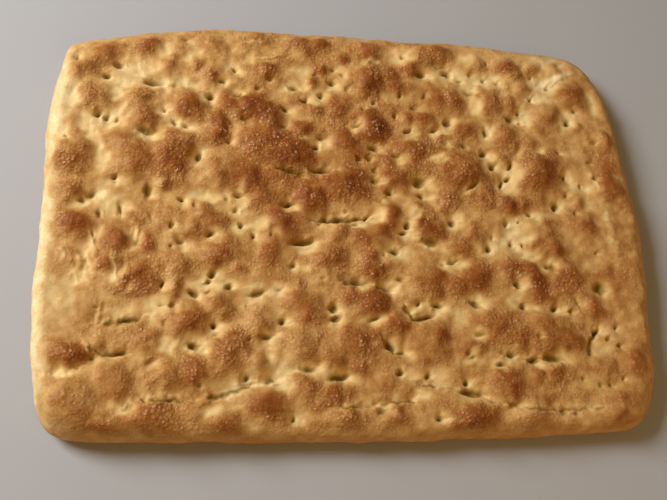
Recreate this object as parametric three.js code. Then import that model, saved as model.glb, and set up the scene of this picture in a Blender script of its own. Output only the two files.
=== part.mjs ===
// A whole focaccia: a flat bread baked in a large shallow pan, with a top of browned mounds
// between finger dimples, a rounded shoulder all round and a flat bottom that it rests on.
//
// Millimetres, +Z up. The long side runs along X, the near side faces -Y. The origin is on
// the bottom, at the middle of the bread's bounding box.
import * as THREE from 'three';
import { mergeGeometries, mergeVertices } from 'three/addons/utils/BufferGeometryUtils.js';

// ---------------------------------------------------------------- overall sizes
const LENGTH = 413;
const WIDTH = 297;
const VALLEY_HEIGHT = 21; // top of the crumb between the mounds
const SHOULDER_INSET = 13; // how far in from the widest line the rounded shoulder begins
const BULGE_HEIGHT = 9; // height of the widest line of the side
const FOOT_TUCK = 5; // how far the side turns in again under the widest line
const FOOT_SWEEP = THREE.MathUtils.degToRad(70); // how far round the foot turns under

// ---------------------------------------------------------------- top relief
const MOUND_RISE = 0.56; // rise of a mound for each millimetre of its radius
const MOUND_SPREAD = 1.25; // a mound's foot reaches this many radii out
const MOUND_BLEND = 3; // how sharply neighbouring mounds keep their own tops
const DISH_RADIUS = 9; // the hollow that a fingertip leaves
const DISH_DEPTH = 5;
const EDGE_CALM = 20; // over this distance from the rim the relief grows to its full depth
const EDGE_MOUNDS = 0.5; // share of a mound's rise that is left right at the rim
const WAVES = [
  // slow rise and fall of the whole top: height, length along X, length along Y, shift
  { height: 0.9, alongX: 190, alongY: 260, shift: 0.7 },
  { height: 0.6, alongX: 120, alongY: -95, shift: 2.1 },
];

// Mounds in rows from the far side to the near side: [x, y, radius]
const MOUND_ROWS = [
  [[-159, 119, 9], [-115, 133, 9], [-92, 129, 11], [-63, 136, 9], [-32, 131, 13], [16, 132, 10],
    [54, 130, 14], [122, 120, 13], [159, 122, 9], [169, 106, 11]],
  [[-173, 92, 11], [-142, 83, 13], [-126, 111, 10], [-109, 81, 14], [-95, 105, 11], [-58, 112, 9],
    [-59, 77, 13], [16, 109, 14], [58, 86, 11], [80, 94, 12], [110, 93, 11], [149, 87, 10]],
  [[-184, 44, 12], [-154, 51, 11], [-117, 49, 14], [-142, 39, 14], [-61, 55, 16], [-43, 42, 15],
    [14, 71, 12], [45, 53, 14], [112, 65, 11], [141, 45, 9]],
  [[-89, 29, 16], [-65, 29, 13], [-30, 15, 12], [-4, 23, 14], [29, 29, 10], [76, 36, 16],
    [131, 36, 14], [110, 12, 12], [183, 29, 10]],
  [[-179, -7, 10], [-97, -1, 11], [-47, -5, 11], [15, -14, 10], [50, -8, 11], [78, -15, 10],
    [132, -6, 9], [164, -2, 10]],
  [[-141, -44, 12], [-90, -25, 12], [-59, -27, 11], [-18, -30, 11], [54, -44, 12], [80, -40, 14],
    [119, -47, 12], [137, -23, 10]],
  [[-108, -71, 12], [-35, -66, 11], [6, -57, 13], [20, -76, 10], [51, -79, 9], [87, -74, 12],
    [140, -79, 10], [-177, -89, 11]],
  [[-85, -91, 13], [-42, -88, 14], [-7, -84, 12], [45, -88, 13], [90, -112, 14], [181, -98, 10]],
  [[-176, -120, 17], [-131, -130, 12], [-89, -132, 12], [-63, -126, 15], [17, -132, 9],
    [69, -131, 15], [106, -132, 12], [164, -132, 9]],
];

// Finger dimples, in rows as the mounds: [x, y]
const DIMPLE_ROWS = [
  [[-134, 99], [-77, 96], [-54, 105], [-12, 106], [36, 97], [56, 115], [78, 118], [95, 105], [138, 105]],
  [[-157, 72], [-125, 66], [-74, 72], [-39, 84], [-19, 61], [5, 80], [29, 78], [73, 76], [97, 70],
    [120, 84], [165, 84]],
  [[-104, 43], [-136, 18], [-161, 22], [-42, 31], [-17, 37], [12, 44], [45, 27], [58, 58],
    [103, 42], [154, 36], [166, 62]],
  [[-119, 10], [-84, 9], [-12, 0], [-38, -17], [35, -5], [67, -2], [84, 22], [105, -2], [150, 12]],
  [[-150, -8], [-116, -19], [-95, -44], [-36, -40], [24, -24], [64, -31], [106, -24], [134, -34],
    [165, -30]],
  [[-147, -70], [-122, -66], [-67, -53], [-18, -63], [42, -69], [76, -58], [109, -61], [166, -48]],
  [[-107, -88], [-142, -92], [-62, -80], [16, -92], [70, -94], [97, -94], [126, -97], [153, -88]],
  [[-144, -122], [-108, -112], [-37, -105], [-14, -108], [40, -110], [65, -115], [9, -118],
    [135, -118], [163, -112]],
];

// The bread's edge at its widest line, counter-clockwise from the near left corner: [x, y].
// The far left corner is a small point, the other three are round.
const RIM = [
  [-192.5, -131.5], [-181, -139.5], [-151, -142], [-95, -143.5], [0, -145.3], [75, -145.3],
  [149, -143], [180, -140.3], [190, -131.5], [199, -107], [203.5, -62], [206.5, -38], [209.5, 6],
  [208, 36], [205, 70], [203.5, 84], [199, 108], [194, 124], [182, 139], [166, 143.3],
  [140, 145.2], [118, 148], [85, 148.8], [40, 149.2], [0, 151], [-35, 149.8], [-75, 151.4],
  [-100, 149.5], [-130, 145.5], [-155, 140.5], [-181, 134.5], [-190, 130.5], [-193.5, 126.5],
  [-195, 118], [-198.5, 98], [-201.5, 80], [-202, 0], [-203, -65], [-199, -110],
];
const CORNERS = { nearLeft: 0, nearRight: 8, farRight: 18, farLeft: 31 }; // places in RIM

// ---------------------------------------------------------------- mesh fineness
const CELLS_LONG = 66; // cells of the top along X
const CELLS_WIDE = 47; // cells of the top along Y
const SHOULDER_RINGS = 4;
const FOOT_RINGS = 2;
const SIDE_SAMPLES = 240; // samples that even out the spacing along one side of the rim
const MERGE_TOLERANCE = 1e-3;

// ---------------------------------------------------------------- outline
const rimCurve = new THREE.CatmullRomCurve3(
  RIM.map(([x, y]) => new THREE.Vector3(x, y, 0)),
  true,
  'centripetal',
);

// Evenly spaced points along the rim from one corner to the next.
function rimSide(first, last, segments) {
  const samples = [];
  for (let i = 0; i <= SIDE_SAMPLES; i += 1) {
    const place = THREE.MathUtils.lerp(first, last, i / SIDE_SAMPLES);
    samples.push(rimCurve.getPoint(place / RIM.length));
  }
  return new THREE.CatmullRomCurve3(samples).getSpacedPoints(segments);
}

const near = rimSide(CORNERS.nearLeft, CORNERS.nearRight, CELLS_LONG);
const right = rimSide(CORNERS.nearRight, CORNERS.farRight, CELLS_WIDE);
const far = rimSide(CORNERS.farRight, CORNERS.farLeft, CELLS_LONG);
const left = rimSide(CORNERS.farLeft, RIM.length, CELLS_WIDE);
const rim = [near, right, far, left].flatMap((side) => side.slice(0, -1));

// A point of the rim's plane moved towards the middle, by the inset at the sides' middles.
function moveIn(point, inset) {
  const x = point.x * (1 - (2 * inset) / LENGTH);
  const y = point.y * (1 - (2 * inset) / WIDTH);
  return new THREE.Vector3(x, y, 0);
}

// A point of the plane inside the rim, blended from its four sides; u runs along X, v along Y.
function insideRim(column, row) {
  const u = column / CELLS_LONG;
  const v = row / CELLS_WIDE;
  const between = new THREE.Vector3().lerpVectors(near[column], far[CELLS_LONG - column], v);
  between.add(new THREE.Vector3().lerpVectors(left[CELLS_WIDE - row], right[row], u));
  const nearEdge = new THREE.Vector3().lerpVectors(near[0], right[0], u);
  const farEdge = new THREE.Vector3().lerpVectors(left[0], far[0], u);
  return between.sub(nearEdge.lerp(farEdge, v));
}

// ---------------------------------------------------------------- top relief
// A soft hill: 1 in the middle and 0 from the radius on.
function hill(distance, radius) {
  const reach = Math.min(distance / radius, 1);
  return (1 - reach * reach) ** 2;
}

function moundHeight(x, y) {
  let sum = 0;
  for (const [moundX, moundY, radius] of MOUND_ROWS.flat()) {
    const distance = Math.hypot(x - moundX, y - moundY);
    sum += (MOUND_RISE * radius * hill(distance, radius * MOUND_SPREAD)) ** MOUND_BLEND;
  }
  return sum ** (1 / MOUND_BLEND);
}

function dishDepth(x, y) {
  const dishes = DIMPLE_ROWS.flat().map(([dishX, dishY]) => (
    hill(Math.hypot(x - dishX, y - dishY), DISH_RADIUS)
  ));
  return DISH_DEPTH * Math.max(...dishes);
}

function slowWave(x, y) {
  const turn = 2 * Math.PI;
  const parts = WAVES.map((wave) => (
    wave.height * Math.sin(turn * (x / wave.alongX + y / wave.alongY) + wave.shift)
  ));
  return parts.reduce((total, part) => total + part, 0);
}

// Height of the top at a place; near the rim the relief is shallower, so that the edge stays whole.
function topHeight(x, y) {
  const edge = Math.min(LENGTH / 2 - Math.abs(x), WIDTH / 2 - Math.abs(y));
  const depth = THREE.MathUtils.smoothstep(edge, 0, EDGE_CALM);
  const mounds = moundHeight(x, y) * THREE.MathUtils.lerp(EDGE_MOUNDS, 1, depth);
  return VALLEY_HEIGHT + slowWave(x, y) + mounds - dishDepth(x, y) * depth;
}

// ---------------------------------------------------------------- the three parts of the skin
// Moves every vertex of a flat grid to where the given function puts its column and row.
function shapeGrid(geometry, columns, rows, place) {
  const position = geometry.attributes.position;
  for (let i = 0; i < position.count; i += 1) {
    const column = i % (columns + 1);
    const row = rows - Math.floor(i / (columns + 1)); // row 0 is the plane's lower edge
    const { x, y, z } = place(column, row);
    position.setXYZ(i, x, y, z);
  }
  return geometry;
}

function topSkin() {
  const plane = new THREE.PlaneGeometry(1, 1, CELLS_LONG, CELLS_WIDE);
  return shapeGrid(plane, CELLS_LONG, CELLS_WIDE, (column, row) => {
    const point = moveIn(insideRim(column, row), SHOULDER_INSET);
    point.z = topHeight(point.x, point.y);
    return point;
  });
}

// A point of the side, counted round the rim and up from the foot: a quarter of an ellipse
// from the top down to the widest line, and a tighter one that tucks in below it.
function sidePoint(column, row) {
  const rimPoint = rim[column % rim.length];
  const shoulder = moveIn(rimPoint, SHOULDER_INSET);
  const topEdge = topHeight(shoulder.x, shoulder.y);
  const ringsUp = row - FOOT_RINGS;
  if (ringsUp >= 0) {
    const angle = (Math.PI / 2) * (ringsUp / SHOULDER_RINGS);
    const point = moveIn(rimPoint, SHOULDER_INSET * (1 - Math.cos(angle)));
    point.z = BULGE_HEIGHT + (topEdge - BULGE_HEIGHT) * Math.sin(angle);
    return point;
  }
  const angle = FOOT_SWEEP * (-ringsUp / FOOT_RINGS);
  const point = moveIn(rimPoint, FOOT_TUCK * (1 - Math.cos(angle)));
  point.z = BULGE_HEIGHT * (1 - Math.sin(angle) / Math.sin(FOOT_SWEEP));
  return point;
}

function sideSkin() {
  const rings = SHOULDER_RINGS + FOOT_RINGS;
  const plane = new THREE.PlaneGeometry(1, 1, rim.length, rings);
  return shapeGrid(plane, rim.length, rings, sidePoint);
}

// The flat bottom: a disc whose edge runs backwards round the foot, so that it faces down.
function bottomSkin() {
  const disc = new THREE.CircleGeometry(1, rim.length);
  const position = disc.attributes.position;
  for (let i = 1; i < position.count; i += 1) {
    const { x, y } = sidePoint(rim.length + 1 - i, 0);
    position.setXYZ(i, x, y, 0);
  }
  return disc;
}

// One closed skin from the three parts, sharing the vertices along their seams, with the middle
// of its bounding box over the origin.
function closedSkin() {
  const skin = mergeGeometries([topSkin(), sideSkin(), bottomSkin()]);
  skin.deleteAttribute('normal');
  skin.deleteAttribute('uv');
  const closed = mergeVertices(skin, MERGE_TOLERANCE);
  closed.computeBoundingBox();
  const middle = closed.boundingBox.getCenter(new THREE.Vector3());
  closed.translate(-middle.x, -middle.y, 0);
  closed.computeVertexNormals();
  return closed;
}

// ---------------------------------------------------------------- the bread
const bakedCrust = new THREE.MeshStandardMaterial({ color: 0xc89155, roughness: 0.7, metalness: 0 });

const focaccia = new THREE.Mesh(closedSkin(), bakedCrust);
focaccia.name = 'focaccia';

const bread = new THREE.Group();
bread.add(focaccia);

export default bread;
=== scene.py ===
"""A whole focaccia, turned out of its baking pan: browned mounds between pale finger dimples.

The bread is one piece. A flat blank is modelled with bmesh operators, a grid for the top, rings
for the side and rings for the bottom, and each of its points is then moved to where the bread's
plan, side profile and relief put it. The same survey of the relief also says how brown, hollow
and blistered the crust is at each point, which the crust's material reads from attributes.

The scene is in metres. The sizes below are in millimetres, unless a name says otherwise.
"""

import sys

import logging
import math
from dataclasses import dataclass, field
from enum import Enum

import bmesh
import bpy
import numpy as np
from mathutils import Matrix, Vector

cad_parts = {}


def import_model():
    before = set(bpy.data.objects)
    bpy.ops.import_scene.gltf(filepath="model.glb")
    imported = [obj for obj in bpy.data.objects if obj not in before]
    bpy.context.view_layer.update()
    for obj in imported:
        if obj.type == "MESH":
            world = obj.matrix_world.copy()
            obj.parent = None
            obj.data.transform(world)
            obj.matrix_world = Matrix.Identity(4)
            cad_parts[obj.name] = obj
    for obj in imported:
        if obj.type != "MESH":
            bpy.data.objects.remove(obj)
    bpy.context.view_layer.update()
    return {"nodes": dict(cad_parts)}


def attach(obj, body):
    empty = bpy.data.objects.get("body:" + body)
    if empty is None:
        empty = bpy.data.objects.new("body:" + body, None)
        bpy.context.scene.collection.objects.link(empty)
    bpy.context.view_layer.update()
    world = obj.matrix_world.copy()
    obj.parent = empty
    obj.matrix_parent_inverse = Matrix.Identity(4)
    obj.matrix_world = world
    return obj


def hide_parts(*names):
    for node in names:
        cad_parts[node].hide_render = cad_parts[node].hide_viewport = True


log = logging.getLogger("focaccia")

MM = 0.001
NODE = "focaccia"
TINY = 1e-9  # keeps a length that is divided by from being zero

Values = np.ndarray  # a number for each point
Spots = np.ndarray  # the x and the y of each point, as two rows
Place = tuple[float, float, float]
Tree = bpy.types.NodeTree
Socket = bpy.types.NodeSocket


# ------------------------------------------------------------------ small tools
def linear(hex_colour: str) -> tuple[float, float, float, float]:
    """Turns an sRGB hex colour into linear light.

    Args:
        hex_colour: the colour, such as "#C08040".

    Returns:
        Red, green and blue from 0 to 1, and an alpha of 1.
    """
    channels = [int(hex_colour[i : i + 2], 16) / 255 for i in (1, 3, 5)]
    light = [c / 12.92 if c <= 0.04045 else ((c + 0.055) / 1.055) ** 2.4 for c in channels]
    return (*light, 1.0)


def add_node(tree: Tree, kind: str, links: dict | None = None, **settings: object) -> bpy.types.Node:
    """Adds a node with its settings and links.

    Args:
        tree: the material's or world's node tree.
        kind: the node's type, such as "ShaderNodeMath".
        links: for each input's name or number, the socket linked to it, or its constant.
        settings: the node's own properties.

    Returns:
        The new node.
    """
    node = tree.nodes.new(kind)
    for name, value in settings.items():
        setattr(node, name, value)
    for name, value in (links or {}).items():
        if isinstance(value, Socket):
            tree.links.new(value, node.inputs[name])
        else:
            node.inputs[name].default_value = value
    return node


def fade(value: Values, start: float, end: float) -> Values:
    """Goes smoothly from 0 at start to 1 at end, which may also lie below start."""
    t = np.clip((value - start) / (end - start), 0.0, 1.0)
    return t * t * (3 - 2 * t)


def show(thing: bpy.types.Object) -> bpy.types.Object:
    """Puts an object in the scene and gives it back."""
    bpy.context.scene.collection.objects.link(thing)
    return thing


# ------------------------------------------------------------------ seeded unevenness
@dataclass(frozen=True)
class Swell:
    """Smooth seeded noise over the plan, from about -1 to 1.

    Attributes:
        width: how far apart its rises are.
        seed: its own seed, so that it is the same each run.
    """

    width: float
    seed: int

    LATTICE = 256
    GAIN = 1.6  # brings its highest rises to about 1

    def at(self, spots: Spots) -> Values:
        """Gives the noise at each point.

        Args:
            spots: the points' places.

        Returns:
            One value for each point.
        """
        turn = np.random.default_rng(self.seed).uniform(0, math.tau, (self.LATTICE, self.LATTICE))
        cell, (across, along) = np.divmod(spots / self.width, 1)
        column, row = cell.astype(int)
        total = np.zeros_like(across)
        for step_x in (0, 1):
            for step_y in (0, 1):
                corner = (column + step_x) % self.LATTICE, (row + step_y) % self.LATTICE
                slope = np.cos(turn[corner]) * (across - step_x) + np.sin(turn[corner]) * (along - step_y)
                total += slope * self._weight(across, step_x) * self._weight(along, step_y)
        return self.GAIN * total

    @staticmethod
    def _weight(way: Values, step: int) -> Values:
        """Eases the weight of a cell's low side (step 0) or high side along the way across it."""
        ease = way**3 * (way * (way * 6 - 15) + 10)
        return ease if step else 1 - ease


Layers = tuple[tuple[float, Swell], ...]  # swells, each with its strength


def heave(layers: Layers, spots: Spots) -> Values:
    """Adds up swells, each with its strength, at each point."""
    return sum(strength * swell.at(spots) for strength, swell in layers)


@dataclass(frozen=True)
class Bubbles:
    """Seeded round bubbles strewn over the plan, at most one to a square cell.

    Attributes:
        spacing: the cell's side.
        radii: the smallest and the largest radius.
        share: the share of cells that hold a bubble.
        seed: its own seed.
    """

    spacing: float
    radii: tuple[float, float]
    share: float
    seed: int

    LATTICE = 512

    def at(self, spots: Spots) -> Values:
        """Gives the bubbles' domes at each point, 1 at the top of the largest and 0 between them.

        Args:
            spots: the points' places.

        Returns:
            One value for each point.
        """
        source = np.random.default_rng(self.seed)
        jitter_x, jitter_y, kind = source.uniform(0, 1, (3, self.LATTICE, self.LATTICE))
        radius = np.interp(kind, (0, self.share), self.radii)
        radius[kind > self.share] = TINY
        column, row = np.floor(spots / self.spacing).astype(int)
        dome = np.zeros(len(column))
        for step_x in (-1, 0, 1):
            for step_y in (-1, 0, 1):
                cell = (column + step_x) % self.LATTICE, (row + step_y) % self.LATTICE
                mid = np.stack([column + step_x + jitter_x[cell], row + step_y + jitter_y[cell]])
                away = np.hypot(*(spots - mid * self.spacing)) / radius[cell]
                dome = np.maximum(dome, np.clip(1 - away**2, 0, 1) * radius[cell] / self.radii[1])
        return dome


# ------------------------------------------------------------------ camera
@dataclass(frozen=True)
class Sight:
    """The camera, which looks down on the bread from over its near left part.

    Attributes:
        place: where it stands, over the middle of the bread's bottom.
        look: the direction of its axis.
        up: its own upward direction.
        lens: its focal length.
        sensor: the width of its sensor.
        layout_shift: from the layout's own zero point to the middle of the bread's bottom.
        layout_level: the height over the bottom at which the layout's places are true.
    """

    place: Place = (-121.6, -241.0, 543.7)
    look: Place = (0.1788, 0.3747, -0.9097)
    up: Place = (-0.0140, 0.9255, 0.3784)
    lens: float = 47.5
    sensor: float = 36.0
    layout_shift: tuple[float, float] = (-5.7, -2.5)
    layout_level: float = 24.0

    def settle(self, place: tuple[float, float], height: float) -> Spots:
        """Moves a place of the layout along its line of sight to the height it really has.

        Args:
            place: its x and y in the layout.
            height: how high over the bottom it lies.

        Returns:
            Its x and y over the middle of the bread's bottom, as a column.
        """
        closer = (self.place[2] - height) / (self.place[2] - self.layout_level)
        camera = np.array(self.place[:2])
        return (camera + (np.add(place, self.layout_shift) - camera) * closer)[:, None]

    def build(self) -> None:
        """Makes the camera and sets it as the scene's own."""
        data = bpy.data.cameras.new("Sight")
        data.lens = self.lens
        data.sensor_width = self.sensor
        camera = show(bpy.data.objects.new("Sight", data))
        back = -Vector(self.look).normalized()
        right = Vector(self.up).cross(back).normalized()
        turn = Matrix((right, back.cross(right), back)).transposed()
        camera.matrix_world = Matrix.Translation(Vector(self.place) * MM) @ turn.to_4x4()
        bpy.context.scene.camera = camera


# ------------------------------------------------------------------ where things lie on the top
class Bake(Enum):
    """How much darker the oven made a mound than the plain crust."""

    GOLDEN = 0.14
    BROWN = 0.28
    DARK = 0.42


class Poke(Enum):
    """What a fingertip left: depths of its hole and dish, the dish's further reach, its paleness."""

    SLOT = (3.7, 2.4, 5.0, 0.85)
    PRICK = (2.4, 1.3, 3.8, 0.5)
    BASIN = (0.0, 2.0, 1.5, 1.0)
    HOLLOW = (0.0, 1.3, 1.5, 0.55)


# Mounds of each bake, in rows from the far side to the near side: (x, y, radius)
MOUNDS = {
    Bake.GOLDEN: (
        (-60, 141, 8), (-91, 134, 6), (103, 129, 7), (-173, 115, 8), (-122, 114, 7), (-182, 108, 8),
        (-94, 108, 6), (138, 108, 7), (122, 96, 8), (-20, 83, 6), (145, 79, 6), (-52, 76, 9),
        (134, 64, 6), (-85, 33, 11), (166, 18, 6), (-60, 17, 7), (-114, -5, 6), (-104, -8, 6),
        (-8, -10, 8), (-112, -33, 8), (-39, -54, 8), (-87, -61, 9), (-64, -73, 9), (-163, -83, 5),
        (-38, -88, 12), (46, -88, 12), (-64, -99, 8), (-17, -93, 9), (163, -102, 8), (-152, -106, 10),
        (-119, -105, 8), (-23, -103, 6), (-175, -123, 18), (-103, -128, 8), (-11, -134, 10),
        (111, -136, 12), (169, -136, 8),
    ),
    Bake.BROWN: (
        (-13, 138, 8), (-134, 132, 7), (-29, 135, 10), (3, 128, 5), (20, 136, 9), (58, 133, 13),
        (74, 137, 10), (147, 127, 5), (-165, 122, 8), (-100, 120, 5), (-54, 118, 8), (-15, 118, 4),
        (164, 125, 7), (-22, 106, 4), (20, 112, 14), (36, 113, 8), (68, 97, 7), (82, 98, 8),
        (108, 96, 10), (-169, 89, 9), (-142, 85, 9), (-5, 87, 8), (47, 79, 5), (57, 81, 7),
        (154, 89, 9), (174, 79, 5), (-137, 72, 9), (-29, 68, 7), (18, 73, 11), (88, 72, 7),
        (119, 66, 9), (193, 69, 8), (-58, 57, 16), (-3, 64, 8), (3, 58, 7), (48, 56, 12), (71, 65, 5),
        (-183, 47, 12), (-152, 53, 10), (-146, 46, 9), (-122, 47, 9), (-119, 53, 12), (-109, 53, 9),
        (110, 50, 6), (-194, 40, 8), (-184, 36, 8), (-140, 41, 14), (33, 32, 10), (75, 37, 15),
        (84, 38, 16), (128, 34, 8), (133, 37, 10), (136, 38, 14), (-126, 26, 8), (-8, 27, 10),
        (96, 26, 7), (191, 28, 12), (-180, 17, 8), (-26, 16, 10), (47, 8, 7), (70, 17, 9), (95, 17, 6),
        (126, 16, 5), (-96, 3, 9), (-91, -6, 9), (28, 6, 9), (29, -3, 5), (127, -3, 6), (137, -4, 8),
        (166, 2, 8), (-154, -15, 8), (9, -13, 7), (19, -12, 9), (86, -11, 8), (127, -14, 5),
        (133, -10, 8), (-157, -28, 7), (-132, -20, 6), (-87, -23, 10), (-55, -25, 8), (-15, -29, 11),
        (11, -27, 7), (76, -18, 7), (140, -19, 10), (-176, -31, 5), (-77, -36, 5), (108, -36, 8),
        (148, -34, 8), (-116, -48, 7), (-3, -54, 7), (48, -46, 11), (70, -42, 9), (-31, -62, 9),
        (165, -63, 6), (-107, -70, 11), (24, -75, 10), (91, -73, 12), (-131, -84, 8), (-82, -88, 12),
        (-3, -83, 12), (74, -88, 8), (106, -82, 9), (130, -81, 14), (146, -84, 8), (-182, -90, 9),
        (-1, -102, 6), (187, -97, 9), (-34, -111, 9), (94, -112, 12), (117, -106, 6), (128, -105, 7),
        (-148, -115, 8), (-19, -118, 9), (121, -123, 5), (175, -124, 5), (-158, -132, 11),
        (-129, -131, 14), (-86, -136, 12), (21, -134, 8), (72, -133, 13),
    ),
    Bake.DARK: (
        (127, 123, 12), (20, 105, 8), (174, 107, 11), (-107, 84, 12), (-76, 83, 9), (-62, 83, 12),
        (-88, 72, 8), (24, 71, 8), (-88, 62, 7), (-40, 44, 16), (146, 44, 10), (-116, 38, 9),
        (-68, 30, 13), (2, 28, 11), (113, 14, 8), (-178, -5, 8), (-47, -3, 11), (54, -6, 10),
        (13, -39, 8), (60, -40, 6), (83, -41, 10), (-138, -42, 9), (-2, -52, 6), (122, -43, 11),
        (10, -56, 12), (55, -79, 6), (-174, -90, 8), (-103, -102, 9), (-60, -124, 11),
    ),
}

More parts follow.
